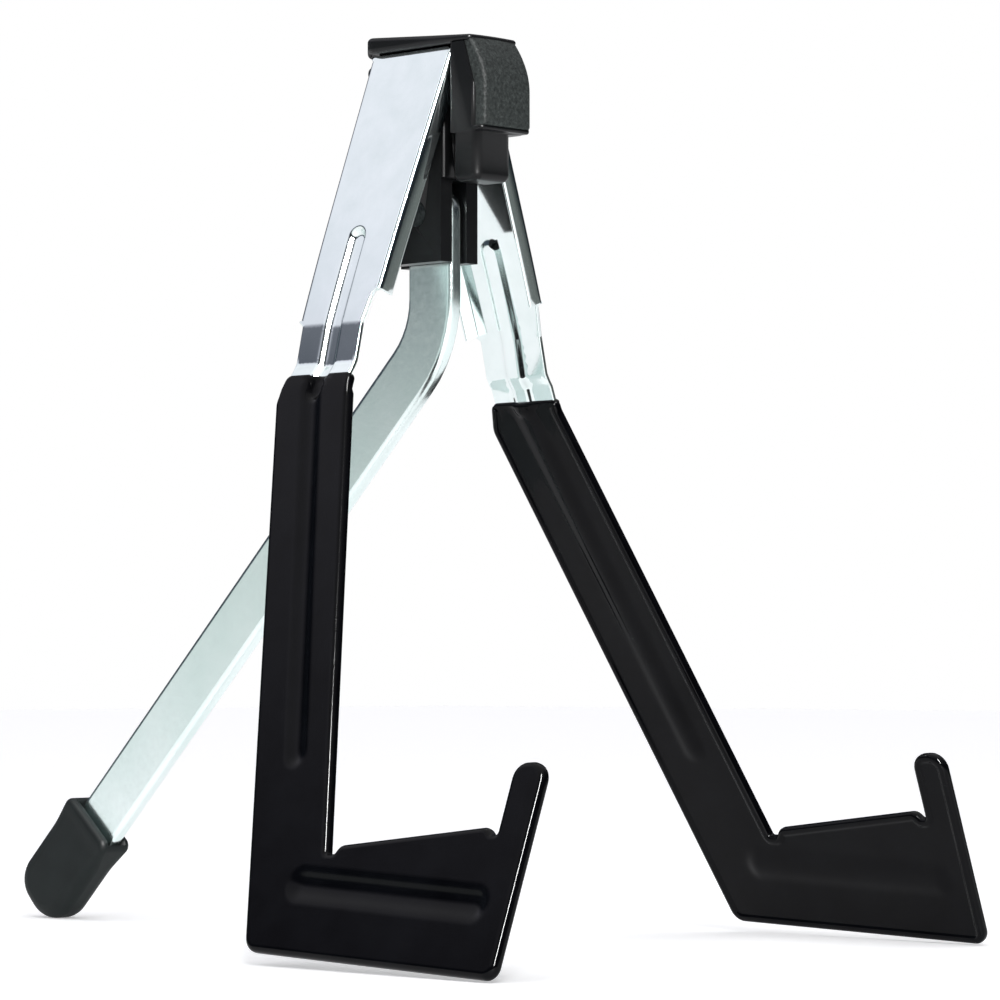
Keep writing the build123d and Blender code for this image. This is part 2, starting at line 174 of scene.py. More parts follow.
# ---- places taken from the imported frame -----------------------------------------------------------
joints = {joint["name"]: joint for joint in frame["record"]["behaviour"]["joints"]}
HINGE = Vector(joints["right_leg_hinge"]["pos_m"]) / MM
PIVOT = Vector(joints["rear_leg_hinge"]["pos_m"]) / MM
ARMS_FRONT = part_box("right_leg_coating")[0][1] / MM
Y_SHIFT = ARMS_FRONT - (ARM_FRONT_Y - COAT_T)       # drawn Y to frame Y
SLANT = radians(SPREAD)
COAT_FACE_X = HINGE_DROP - JOGGLE + COAT_T
LOWER_EDGE_X = HINGE_DROP - JOGGLE - LOWER_DEPTH
FLOOR_REACH = (HINGE.z + (LOWER_EDGE_X - COAT_T) * sin(SLANT)) / cos(SLANT)


# ---- small helpers ------------------------------------------------------------------------------
def along(z):
    """Distance up the slope of a front leg from its hinge, for a standing height."""
    return (z - HINGE.z) / cos(SLANT)


def ease(value, low, high):
    """Smooth step from 0 at low to 1 at high."""
    t = np.clip((value - low) / (high - low), 0.0, 1.0)
    return t * t * (3 - 2 * t)


def rounded_loop(corners):
    """Points and inward normals round (u, v, radius) corners, which may run either way, with an arc at each."""
    points = [Vector(c[:2]) for c in corners]
    radii = [c[2] for c in corners]
    count = len(points)
    area = sum(points[i].x * points[(i + 1) % count].y - points[(i + 1) % count].x * points[i].y
               for i in range(count))
    turn_sign = 1.0 if area > 0 else -1.0
    loop, normals, runs = [], [], []
    for i in range(count):
        before, here, after = points[i - 1], points[i], points[(i + 1) % count]
        u = (here - before).normalized()
        v = (after - here).normalized()
        turn = u.angle_signed(v)
        reach = abs(tan(turn / 2)) * radii[i]
        start = here - u * reach
        left = 1.0 if u.cross(v) > 0 else -1.0
        normal = Vector((-u.y, u.x)) * left
        centre = start + normal * radii[i]
        steps = max(2, int(ceil(abs(turn) / radians(ARC_STEP))))
        arc = []
        for k in range(steps + 1):
            angle = left * abs(turn) * k / steps
            spoke = Matrix.Rotation(angle, 2) @ (-normal)
            inward = -spoke if left == turn_sign else spoke
            arc.append((centre + spoke * radii[i], inward))
        runs.append(arc)
    for i in range(count):
        for point, inward in runs[i]:
            loop.append(point)
            normals.append(inward)
        start = runs[i][-1][0]
        end = runs[(i + 1) % count][0][0]
        length = (end - start).length
        pieces = int(length // LOOP_STEP)
        for k in range(1, pieces):
            loop.append(start.lerp(end, k / pieces))
            normals.append(runs[i][-1][1])
    return np.array(loop), np.array(normals)


def inside(points, loop):
    """Even-odd test of many points against a closed loop."""
    x, y = points[:, 0], points[:, 1]
    result = np.zeros(len(points), bool)
    for (x1, y1), (x2, y2) in zip(loop, np.roll(loop, -1, axis=0)):
        crosses = (y1 > y) != (y2 > y)
        if abs(y2 - y1) > 1e-12:
            result ^= crosses & (x < (x2 - x1) * (y - y1) / (y2 - y1) + x1)
    return result


def edge_distance(points, loop):
    """Distance of many points to a closed loop."""
    best = np.full(len(points), 1e9)
    for a, b in zip(loop, np.roll(loop, -1, axis=0)):
        d = b - a
        t = np.clip(((points - a) @ d) / max(d @ d, 1e-12), 0, 1)
        best = np.minimum(best, np.linalg.norm(points - a - t[:, None] * d, axis=1))
    return best


def fill_points(loop, spacing, features):
    """Points to mesh a flat area with: the features' own, and an even lattice where they leave room for it."""
    low, high = loop.min(axis=0), loop.max(axis=0)
    rows = []
    v, shift = low[1], 0.0
    while v < high[1]:
        u = np.arange(low[0] + shift, high[0], spacing)
        rows.append(np.stack([u, np.full(len(u), v)], axis=1))
        v += spacing * 0.866
        shift = spacing / 2 - shift
    lattice = np.concatenate(rows)
    for feature in features:
        lattice = lattice[feature["clear"](lattice)]
    sets = [lattice] + [feature["points"] for feature in features]
    kept = []
    for points in sets:
        if len(points):
            points = points[inside(points, loop)]
            kept.append(points[edge_distance(points, loop) > spacing * 0.35])
    return np.concatenate(kept)


def triangulate(loop, extra):
    """Points and triangles of a closed loop with extra points inside. The loop's points come first."""
    points = [Vector(p) for p in loop] + [Vector(p) for p in extra]
    count = len(loop)
    edges = [(i, (i + 1) % count) for i in range(count)]
    out, _, faces, source, _, _ = delaunay_2d_cdt(points, edges, [], 1, 1e-5)
    order = {}
    for index, origins in enumerate(source):
        for origin in origins:
            order[origin] = index
    renumber = {order[i]: i for i in range(len(points)) if i in order}
    coordinates = np.array([tuple(p) for p in points])
    triangles = [tuple(renumber[v] for v in face) for face in faces
                 if all(v in renumber for v in face)]
    return coordinates, triangles


def bead_feature(start, end, half, spacing=1.3, ratios=(0.0, 0.3, 0.5, 0.62, 0.74, 0.86, 0.98, 1.12)):
    """Staggered rows of points that follow a bead, so that its walls are crisp."""
    start, end = np.array(start, float), np.array(end, float)
    length = np.linalg.norm(end - start)
    axis = (end - start) / length
    side = np.array([-axis[1], axis[0]])
    points = []
    for row, ratio in enumerate(ratios):
        radius = half * ratio
        count = max(2, int(length / spacing))
        stagger = 0.5 * (row % 2) / count
        for k in range(count + 1):
            middle = start + (end - start) * min(k / count + stagger, 1.0)
            points.append(middle + side * radius)
            if radius:
                points.append(middle - side * radius)
        for tip, sign in ((start, -1), (end, 1)):
            arcs = max(2, int(pi * radius / spacing * 1.4))
            for k in range(1, arcs):
                angle = pi * k / arcs
                points.append(tip + side * radius * cos(angle) + axis * sign * radius * sin(angle))
    clearance = half * 1.12 + spacing * 0.6
    return {"points": np.array(points), "clear": lambda p: segment_distance(p, start, end) > clearance}


def row_feature(v_values, u_low, u_high, spacing=1.3):
    """Level rows of points across a crease, among the even lattice."""
    u = np.arange(u_low, u_high, spacing)
    points = np.concatenate([np.stack([u, np.full(len(u), v)], axis=1) for v in v_values])
    return {"points": points, "clear": lambda p: np.ones(len(p), bool)}


def segment_distance(points, start, end):
    """Distance of many points to one segment."""
    d = end - start
    t = np.clip(((points - start) @ d) / (d @ d), 0, 1)
    return np.linalg.norm(points - start - t[:, None] * d, axis=1)


def make_object(name, vertices, faces, material):
    """Mesh object from vertices in millimetres of the frame, smooth but for its real corners."""
    mesh = bpy.data.meshes.new(name)
    mesh.from_pydata([tuple(v) for v in np.asarray(vertices) * MM], [], faces)
    mesh.update()
    tidy = bmesh.new()
    tidy.from_mesh(mesh)
    bmesh.ops.remove_doubles(tidy, verts=tidy.verts, dist=1e-7)
    bmesh.ops.recalc_face_normals(tidy, faces=tidy.faces)
    tidy.to_mesh(mesh)
    tidy.free()
    mesh.polygons.foreach_set("use_smooth", [True] * len(mesh.polygons))
    mesh.set_sharp_from_angle(angle=radians(SMOOTH_ANGLE))
    mesh.materials.append(material)
    obj = bpy.data.objects.new(name, mesh)
    bpy.context.scene.collection.objects.link(obj)
    return obj


# ---- pressed sheet with flanges -----------------------------------------------------------------
def flange_profile(depth, bend, thickness):
    """(inset, drop) pairs from the outer web, round the flange, to the inner web."""
    inner = max(bend - thickness, 0.4)
    pairs = [(bend * (1 - sin(a)), bend * (1 - cos(a))) for a in QUARTER]
    lip = thickness / 2
    pairs += [(0.0, (bend + depth - lip) / 2)]
    pairs += [(lip - lip * cos(a), depth - lip + lip * sin(a)) for a in HALF_TURN]
    pairs += [(thickness + inner * (1 - cos(a)), thickness + inner * (1 - sin(a))) for a in SHORT_QUARTER]
    return pairs


def edge_profile(thickness, rounding):
    """The same number of pairs for a plain cut edge. No two of them are at one place."""
    e = min(rounding, thickness / 2 - 0.01)
    pairs = [(e * (1 - sin(a)), e * (1 - cos(a))) for a in QUARTER]
    pairs += [(0.0, e + (thickness - 2 * e) * k / 8) for k in range(1, 9)]
    pairs += [(e * (1 - cos(a)), thickness - e + e * sin(a)) for a in np.linspace(0.02, pi / 2, 6)]
    return pairs


def dip_profile(depth, thickness):
    """The same number of pairs for the thin dipped rim: round outside, a soft step back to the inner web."""
    pairs = [(RIM_R * (1 - sin(a)), RIM_R * (1 - cos(a))) for a in QUARTER]
    pairs += [(0.0, (RIM_R + depth - RIM_LOW_R) / 2)]
    pairs += [(RIM_LOW_R * (1 - cos(a)), depth - RIM_LOW_R * (1 - sin(a))) for a in QUARTER]
    pairs += [(RIM_LOW_R + 0.5 + 1.5 * t, depth - (depth - thickness) * t * t * (3 - 2 * t))
              for t in np.linspace(0, 1, 6)]
    return pairs


def pressed_sheet(corners, profile_at, face, inner_face, bend, features, spacing):
    """Closed shell of a pressed sheet: returns vertices (x, y, s) and faces.

    profile_at(y, s) gives the edge's (inset, drop) pairs there. face and inner_face give x. The edge hangs from
    the face as it is one bend inside the outline. A ring GUARD further in stands between edge and web.
    """
    loop, normals = rounded_loop(corners)
    profiles = [profile_at(y, s) for y, s in loop]
    rings = len(profiles[0])
    count = len(loop)
    vertices = []
    for k in range(rings):
        inset = np.array([profile[k][0] for profile in profiles])
        drop = np.array([profile[k][1] for profile in profiles])
        ring = loop + normals * inset[:, None]
        base = face(loop[:, 0] + normals[:, 0] * bend, loop[:, 1] + normals[:, 1] * bend)
        if k == 0:
            base = face(ring[:, 0], ring[:, 1])
        x = base - drop
        if k == rings - 1:
            x = inner_face(ring[:, 0], ring[:, 1])
        vertices.append(np.column_stack([x, ring]))
    for source, surface in ((0, face), (rings - 1, inner_face)):
        inset = np.array([profile[source][0] for profile in profiles]) + GUARD
        ring = loop + normals * inset[:, None]
        guard = np.column_stack([surface(ring[:, 0], ring[:, 1]), ring])
        if source == 0:
            vertices.insert(0, guard)
        else:
            vertices.append(guard)
    rings += 2
    faces = []
    for k in range(rings - 1):
        for i in range(count):
            j = (i + 1) % count
            faces.append((k * count + i, k * count + j, (k + 1) * count + j, (k + 1) * count + i))
    stacked = np.concatenate(vertices)
    for ring_index, surface in ((0, face), (rings - 1, inner_face)):
        ring = stacked[ring_index * count:(ring_index + 1) * count, 1:]
        extra = fill_points(ring, spacing, features)
        points, triangles = triangulate(ring, extra)
        offset = len(stacked)
        added = points[count:]
        raised = np.column_stack([surface(added[:, 0], added[:, 1]), added])
        stacked = np.concatenate([stacked, raised])
        first = ring_index * count
        for triangle in triangles:
            faces.append(tuple(first + v if v < count else offset + v - count for v in triangle))
    return stacked, faces


# ---- front legs ---------------------------------------------------------------------------------
HEEL_RUN = REAR_RATE * (SHOULDER_Z - HEEL_Z)
TOE_S = COAT_T - FLOOR_REACH - TOE_RISE * TOE_R
HEEL_S = TOE_S + TOE_RISE * (LEG_REAR_Y - HEEL_RUN - ARM_FRONT_Y)
CROTCH_Y = LEG_FRONT_Y - FRONT_RATE * (SHOULDER_Z - ARM_TOP_REAR_Z) + 1.0
# beads pressed in the sheet. soft: share of the half width that slopes. coat: left out on the bare sheet
BEADS = [
    dict(start=(45.0, along(241.0)), end=(46.0, along(188.0)), half=4.6, depth=2.2, soft=0.62, coat=False),
    dict(start=(47.2, along(189.0)), end=(5.5, along(66.0)), half=5.5, depth=0.9, soft=0.95, coat=True),
    dict(start=(-13.0, along(25.0)), end=(-92.0, along(22.0)), half=6.5, depth=1.3, soft=0.95, coat=True),
]


def upper_corners():
    """Outline of the bare part of the leg plate, with its lower end hidden in the dip."""
    return [
        (UPPER_FRONT_Y - SPLAY, TOP_LENGTH, CHANNEL_R),
        (UPPER_REAR_Y, TOP_LENGTH, CHANNEL_R),
        (UPPER_REAR_Y, along(STEP_REAR_Z), CREASE_R),
        (NECK_REAR_Y, along(STEP_REAR_Z - 1.6), CREASE_R),
        (NECK_REAR_Y, along(SHOULDER_Z - HIDDEN_LENGTH), CREASE_R),
        (NECK_FRONT_Y, along(SHOULDER_Z - HIDDEN_LENGTH), CREASE_R),
        (NECK_FRONT_Y, along(NECK_TOP_Z), 3.0),
        (UPPER_FRONT_Y + 4.0, along(STEP_FRONT_Z), 1.5),
        (UPPER_FRONT_Y + TUCK, along(STEP_FRONT_Z), CREASE_R),
    ]


def lower_corners(top_z):
    """Outline of the dipped part, outside the vinyl, which starts at a height."""
    c = COAT_T
    return [
        (NECK_FRONT_Y - 1.2, along(top_z), 2.5),
        (NECK_REAR_Y + 1.0, along(top_z), 3.0),
        (LEG_REAR_Y + c - 0.4, along(top_z - 9.5), 7.0),
        (LEG_REAR_Y - HEEL_RUN + c, HEEL_S - c, 6.0),
        (ARM_FRONT_Y - c, TOE_S - c, TOE_R + c),
        (ARM_FRONT_Y - c, along(HOOK_TOP_Z) + c, 6.0),
        (HOOK_INNER_Y + c, along(HOOK_TOP_Z - 1) + c, 5.5),
        (HOOK_INNER_Y + c, along(ARM_TOP_FRONT_Z - NOTCH) + c, NOTCH_R),
        (HOOK_INNER_Y + 3.2, along(ARM_TOP_FRONT_Z - NOTCH) + c, NOTCH_R),
        (ARM_TOP_FRONT_Y + 1.7, along(ARM_TOP_FRONT_Z) + c, 3.8),
        (ARM_TOP_REAR_Y - 2.5, along(ARM_TOP_REAR_Z + 0.6) + c, 3.8),
        (ARM_TOP_REAR_Y - 0.5, along(ARM_TOP_REAR_Z - NOTCH) + c, NOTCH_R),
        (CROTCH_Y - c, along(ARM_TOP_REAR_Z - NOTCH) + c, NOTCH_R),
        (LEG_FRONT_Y - c - 0.6, along(min(SHOULDER_Z, top_z - 4)), 4.0),
    ]


def bead_depth(y, s, coat, widen=0.0):
    """How far the beads press the sheet in."""
    points = np.column_stack([y, s])
    total = np.zeros(len(points))
    for bead in BEADS:
        if bead["coat"] and not coat:
            continue
        half = bead["half"] + widen
        distance = segment_distance(points, np.array(bead["start"]), np.array(bead["end"]))
        total = np.maximum(total, bead["depth"] * ease(-distance, -half, -half * (1 - bead["soft"])))
    return total


def sheet_x(s):
    """Face of the bare sheet down the slope, with the joggle's two creases."""
    bow = np.clip((along(BOW_TOP_Z) - s) / (along(BOW_TOP_Z) - along(JOGGLE_TOP_Z)), 0, 1)
    heights = [along(z) for z in (COAT_TOP_Z, JOGGLE_LOW_Z, JOGGLE_TOP_Z)]
    return HINGE_DROP - BOW * bow ** 2 - np.interp(s, heights, [JOGGLE - BOW, NECK_DIP, 0.0])


def steel_face(y, s):
    """Outer face of the bare sheet."""
    return sheet_x(s) - bead_depth(y, s, False)


def steel_inner(y, s):
    """Inner face of the bare sheet, where a bead stands out as a rib."""
    return sheet_x(s) - STEEL_T - RIB_SHARE * bead_depth(y, s, False, 1.0)


def coat_face(y, s):
    """Outer face of the dip, drawn in a little at its top edge."""
    crown = COAT_CROWN * np.exp(-((s - along(COAT_TOP_Z)) / COAT_CROWN_REACH) ** 2)
    return COAT_FACE_X - crown - bead_depth(y, s, True)


def coat_inner(y, s):
    """Inner face of the dip."""
    return COAT_FACE_X - STEEL_T - 2 * COAT_T - bead_depth(y, s, True, 0.8)


def upper_profile(y, s):
    """Flanges only along the channel's front and rear edges."""
    front = np.interp(s, [along(STEP_FRONT_Z), TOP_LENGTH], [UPPER_FRONT_Y + TUCK, UPPER_FRONT_Y - SPLAY])
    on_front = y < front + 0.3 and s > along(STEP_FRONT_Z) + 0.3
    on_rear = y > UPPER_REAR_Y - 0.3 and s > along(STEP_REAR_Z) + 0.3
    if (on_front or on_rear) and s < TOP_LENGTH - 1.2:
        return flange_profile(FLANGE_DEPTH, BEND_R, STEEL_T)
    return edge_profile(STEEL_T, 0.3)


def lower_profile(y, s):
    """A shallow rim all round but for the top."""
    thickness = STEEL_T + 2 * COAT_T
    if s > along(COAT_TOP_Z - RIGHT_DIP_DROP) - 1.0:
        return edge_profile(thickness, 1.2)
    return dip_profile(COAT_FACE_X - LOWER_EDGE_X + COAT_T, thickness)


def stand(vertices, side):
    """Leg vertices (out, y, up the slope) to the frame, on one side."""
    out, y, up = vertices[:, 0], vertices[:, 1], vertices[:, 2]
    x = HINGE.x + out * cos(SLANT) - up * sin(SLANT)
    z = HINGE.z + out * sin(SLANT) + up * cos(SLANT)
    return np.column_stack([side * x, y + Y_SHIFT, z])


# ---- materials ----------------------------------------------------------------------------------
def new_material(name, **values):
    """Material with its shader's fixed values set on the sockets. Returns it, its nodes, links and shader."""
    material = bpy.data.materials.new(name)
    material.use_nodes = True
    nodes, links = material.node_tree.nodes, material.node_tree.links
    shader = nodes["Principled BSDF"]
    for key, value in values.items():
        shader.inputs[key.replace("_", " ")].default_value = value
    return material, nodes, links, shader


def place(nodes, links, stretch=(1, 1, 1)):
    """Object coordinates scaled along each axis."""
    coordinates = nodes.new("ShaderNodeTexCoord")
    mapping = nodes.new("ShaderNodeMapping")
    mapping.inputs["Scale"].default_value = stretch
    links.new(coordinates.outputs["Object"], mapping.inputs["Vector"])
    return mapping.outputs["Vector"]


def noise(nodes, links, vector, scale, detail=4.0, roughness=0.55):
    """Fractal noise, about 0..1."""
    node = nodes.new("ShaderNodeTexNoise")
    node.inputs["Scale"].default_value = scale
    node.inputs["Detail"].default_value = detail
    node.inputs["Roughness"].default_value = roughness
    links.new(vector, node.inputs["Vector"])
    return node.outputs["Fac"]


def ramp(nodes, links, value, stops):
    """Colour ramp from (position, colour) stops."""
    node = nodes.new("ShaderNodeValToRGB")
    elements = node.color_ramp.elements
    while len(elements) < len(stops):
        elements.new(0.5)
    for element, (position, colour) in zip(elements, stops):
        element.position = position
        element.color = (*colour, 1.0)
    links.new(value, node.inputs["Fac"])
    return node.outputs["Color"]


def spread(nodes, links, value, low, high):
    """Value from 0..1 to low..high."""
    node = nodes.new("ShaderNodeMapRange")
    node.inputs["To Min"].default_value = low
    node.inputs["To Max"].default_value = high
    links.new(value, node.inputs["Value"])
    return node.outputs["Result"]


def bump(nodes, links, shader, height, distance, strength):
    """Relief on a shader from a height of 0..1. The distance is in metres."""
    node = nodes.new("ShaderNodeBump")
    node.inputs["Strength"].default_value = strength
    node.inputs["Distance"].default_value = distance
    links.new(height, node.inputs["Height"])
    links.new(node.outputs["Normal"], shader.inputs["Normal"])


def chrome_material():
    """Bright chrome with a faint ripple and fine handling haze."""
    material, nodes, links, shader = new_material("chrome_plate", Metallic=1.0)
    vector = place(nodes, links)
    haze = noise(nodes, links, vector, 90.0, 5.0)
    links.new(ramp(nodes, links, haze, [(0.3, (0.70, 0.77, 0.76)), (0.75, (0.78, 0.84, 0.835))]),
              shader.inputs["Base Color"])
    links.new(spread(nodes, links, haze, 0.05, 0.10), shader.inputs["Roughness"])
    bump(nodes, links, shader, noise(nodes, links, vector, 45.0, 1.0), 0.00004, 0.6)
    return material


def bright_steel_material():
    """Plated steel with a faint drawn grain and a cool tint."""
    material, nodes, links, shader = new_material("bright_steel", Metallic=1.0)
    grain = noise(nodes, links, place(nodes, links, (400, 60, 60)), 6.0, 4.0)
    cloud = noise(nodes, links, place(nodes, links), 30.0, 3.0)
    links.new(ramp(nodes, links, cloud, [(0.3, (0.70, 0.81, 0.79)), (0.7, (0.79, 0.87, 0.86))]),
              shader.inputs["Base Color"])
    links.new(spread(nodes, links, grain, 0.12, 0.26), shader.inputs["Roughness"])
    bump(nodes, links, shader, grain, 0.00002, 0.4)
    return material


def vinyl_material():
    """Glossy black dip with slow waves, fine pits and a gloss coat that is stronger where it pooled."""
    material, nodes, links, shader = new_material("vinyl_dip", IOR=1.17, Coat_Roughness=0.06, Coat_IOR=1.5)
    vector = place(nodes, links)
    wave = noise(nodes, links, vector, 60.0, 2.0)
    links.new(ramp(nodes, links, wave, [(0.3, (0.0012, 0.0012, 0.0018)), (0.7, (0.0028, 0.0030, 0.0040))]),
              shader.inputs["Base Color"])
    links.new(spread(nodes, links, noise(nodes, links, vector, 240.0, 3.0), 0.07, 0.14),
              shader.inputs["Roughness"])
    pooled = noise(nodes, links, vector, 25.0, 2.0)
    links.new(spread(nodes, links, pooled, 0.024, 0.056), shader.inputs["Coat Weight"])
    bump(nodes, links, shader, wave, 0.00012, 0.5)
    return material


def plastic_material():
    """Satin moulded plastic with a fine spark-eroded texture."""
    material, nodes, links, shader = new_material("moulded_plastic", IOR=1.28)
    vector = place(nodes, links)
    fine = noise(nodes, links, vector, 1500.0, 3.0)
    cloud = noise(nodes, links, vector, 50.0)
    links.new(ramp(nodes, links, cloud, [(0.3, (0.002, 0.0024, 0.0028)), (0.7, (0.0045, 0.005, 0.0058))]),
              shader.inputs["Base Color"])
    links.new(spread(nodes, links, fine, 0.28, 0.42), shader.inputs["Roughness"])
    bump(nodes, links, shader, fine, 0.00006, 0.35)
    return material


def pad_material():
    """Coarse grained rubber: pebbles with dark creases."""
    material, nodes, links, shader = new_material("grained_rubber", IOR=1.25)
    vector = place(nodes, links)
    pebble = nodes.new("ShaderNodeTexVoronoi")
    pebble.inputs["Scale"].default_value = 900.0
    links.new(vector, pebble.inputs["Vector"])
    speckle = noise(nodes, links, vector, 700.0, 4.0, 0.7)
    greys = [(0.35, (0.012, 0.016, 0.015)), (0.55, (0.030, 0.037, 0.035)), (0.72, (0.060, 0.072, 0.068))]
    links.new(ramp(nodes, links, speckle, greys), shader.inputs["Base Color"])
    links.new(spread(nodes, links, speckle, 0.5, 0.75), shader.inputs["Roughness"])
    bump(nodes, links, shader, pebble.outputs["Distance"], 0.0003, 0.8)
    return material


def boot_material():
    """Soft matte rubber with a dusty bloom."""
    material, nodes, links, shader = new_material("boot_rubber", IOR=1.25)
    vector = place(nodes, links)
    bloom = noise(nodes, links, vector, 70.0, 5.0)
    links.new(ramp(nodes, links, bloom, [(0.3, (0.004, 0.0068, 0.0070)), (0.7, (0.0085, 0.0125, 0.0125))]),
              shader.inputs["Base Color"])
    links.new(spread(nodes, links, bloom, 0.42, 0.6), shader.inputs["Roughness"])
    bump(nodes, links, shader, noise(nodes, links, vector, 1400.0, 3.0), 0.00005, 0.4)
    return material


def rivet_material():
    """Blackened rivet steel with worn, lighter patches."""
    material, nodes, links, shader = new_material("rivet_steel", Metallic=1.0)
    wear = noise(nodes, links, place(nodes, links), 500.0, 4.0)
    links.new(ramp(nodes, links, wear, [(0.35, (0.018, 0.020, 0.021)), (0.7, (0.06, 0.065, 0.065))]),
              shader.inputs["Base Color"])
    links.new(spread(nodes, links, wear, 0.25, 0.45), shader.inputs["Roughness"])
    return material


def nylon_material():
    """Natural nylon, slightly clouded."""
    material, nodes, links, shader = new_material("nylon", IOR=1.53)
    cloud = noise(nodes, links, place(nodes, links), 300.0)
    links.new(ramp(nodes, links, cloud, [(0.3, (0.62, 0.62, 0.58)), (0.7, (0.76, 0.76, 0.72))]),
              shader.inputs["Base Color"])
    links.new(spread(nodes, links, cloud, 0.35, 0.5), shader.inputs["Roughness"])
    return material


CHROME = chrome_material()
STEEL = bright_steel_material()
VINYL = vinyl_material()
PLASTIC = plastic_material()
PAD_RUBBER = pad_material()
BOOT_RUBBER = boot_material()
RIVET = rivet_material()
NYLON = nylon_material()


def carve(piece, tool):
    """Cut one object's shape out of another."""
    modifier = piece.modifiers.new("carve", "BOOLEAN")
    modifier.operation = "DIFFERENCE"
    modifier.solver = "EXACT"
    modifier.object = tool
    bpy.context.view_layer.update()
    graph = bpy.context.evaluated_depsgraph_get()
    mesh = bpy.data.meshes.new_from_object(piece.evaluated_get(graph))
    piece.modifiers.clear()
    piece.data = mesh
    bpy.data.objects.remove(tool)


def circle(radius):
    """Points round a circle about the origin."""
    return [(radius * cos(a), radius * sin(a)) for a in np.arange(CIRCLE_POINTS) * 2 * pi / CIRCLE_POINTS]


def cutter(near, far):
    """Solid between two outlines of the same number of points, to cut with."""
    count = len(near)
    faces = [tuple(range(count)), tuple(range(2 * count - 1, count - 1, -1))]
    faces += [(i, (i + 1) % count, count + (i + 1) % count, count + i) for i in range(count)]
    return make_object("cutter", near + far, faces, STEEL)


def prism(corners, x_low, x_high):
    """Solid that fills an outline of (y, z) points between two X values, to cut with."""
    return cutter(*([(x, y + Y_SHIFT, z) for y, z in corners] for x in (x_low, x_high)))


def box_outline(y_range, z_range):
    """Outline of (y, z) points round two ranges."""
    (y_low, y_high), (z_low, z_high) = y_range, z_range
    return [(y_low, z_low), (y_high, z_low), (y_high, z_high), (y_low, z_high)]


def hinge_bore(radius, y_low, y_high, side):
    """Rod along a front leg's hinge axis, to cut with."""
    return cutter(*([(side * HINGE.x + u, y + Y_SHIFT, HINGE.z + v) for u, v in circle(radius)]
                    for y in (y_low, y_high)))


def build_legs():
    """Both front legs: the chromed sheet, bored for its hinge pin, and the vinyl dip."""
    neck_bead = bead_feature(BEADS[0]["start"], BEADS[0]["end"], BEADS[0]["half"], 0.6,
                             [0.0, 0.2, *np.linspace(0.34, 1.04, 12), 1.16])
    creases = row_feature([along(z) for z in CREASE_ROWS_Z], UPPER_FRONT_Y, UPPER_REAR_Y)
    steel, steel_faces = pressed_sheet(upper_corners(), upper_profile, steel_face, steel_inner,
                                       BEND_R, [neck_bead, creases], 2.0)
    dip_beads = [bead_feature(b["start"], b["end"], b["half"]) for b in BEADS[1:]]
    for name, side, top_z in (("left", -1, COAT_TOP_Z), ("right", 1, COAT_TOP_Z - RIGHT_DIP_DROP)):
        dip, dip_faces = pressed_sheet(lower_corners(top_z), lower_profile, coat_face, coat_inner,
                                       RIM_R, dip_beads, 2.4)
        for part, vertices, faces, material, slot in (
                ("plate", steel, steel_faces, CHROME, "leg_chrome"),
                ("coating", dip, dip_faces, VINYL, "leg_vinyl")):
            piece = make_object(f"{name}_leg_{part}_skin", stand(vertices, side), faces, material)
            if part == "plate":
                carve(piece, hinge_bore(PIN_HEAD_HOLE_R, UPPER_FRONT_Y - 5, UPPER_FRONT_Y + 2.5, side))
                carve(piece, hinge_bore(PIN_BORE_R, UPPER_REAR_Y - 3, UPPER_REAR_Y + 3, side))
            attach(piece, f"{name}_leg")
            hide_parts(f"{name}_leg_{part}")


# ---- rear leg, boot and pad -----------------------------------------------------------------------
RUN = np.array([sin(radians(REAR_SLOPE)), -cos(radians(REAR_SLOPE))])
RISE = np.array([cos(radians(REAR_SLOPE)), sin(radians(REAR_SLOPE))])
KNEE = np.array([PIVOT.y - Y_SHIFT, KNEE_Z])


def on_run(distance, height):
    """Point (y, z) on the rear leg's long run: distance from the knee, height above its middle."""
    return tuple(KNEE + RUN * distance + RISE * height)


def run_place(y, z):
    """Distance from the knee along the long run of points (y, z)."""
    return (y - KNEE[0]) * RUN[0] + (z - KNEE[1]) * RUN[1]


def build_strap():
    """Pressed channel of the rear leg, web on the -X side."""
    half = STRAP_WIDTH / 2
    turn = tan(radians(REAR_SLOPE / 2))
    top = PIVOT.z + STRAP_TOP
    corners = [
        (KNEE[0] - half, top, half - 0.4),
        (KNEE[0] + half, top, STRAP_CORNER_R),
        (*on_run(half * turn, half), KNEE_R - half),
        (*on_run(RUN_LENGTH, half), STRAP_CORNER_R),
        (*on_run(RUN_LENGTH, -half), STRAP_CORNER_R),
        (*on_run(-half * turn, -half), KNEE_R + half),
    ]
    outer = STRAP_DEPTH / 2
    profile = flange_profile(STRAP_DEPTH, STRAP_BEND_R, STRAP_T)
    vertices, faces = pressed_sheet(corners, lambda y, z: profile, lambda y, z: outer + 0 * y,
                                    lambda y, z: outer - STRAP_T + 0 * y, STRAP_BEND_R, [], 5.0)
    vertices = vertices * (-1, 1, 1) + (0, Y_SHIFT, 0)
    strap = make_object("rear_leg_strap_skin", vertices, faces, STEEL)
    hole = [(KNEE[0] + u, PIVOT.z + v) for u, v in circle(PIN_HOLE_R)]
    carve(strap, prism(hole, -4, 4))
    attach(strap, "rear_leg")
    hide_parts("rear_leg_strap")


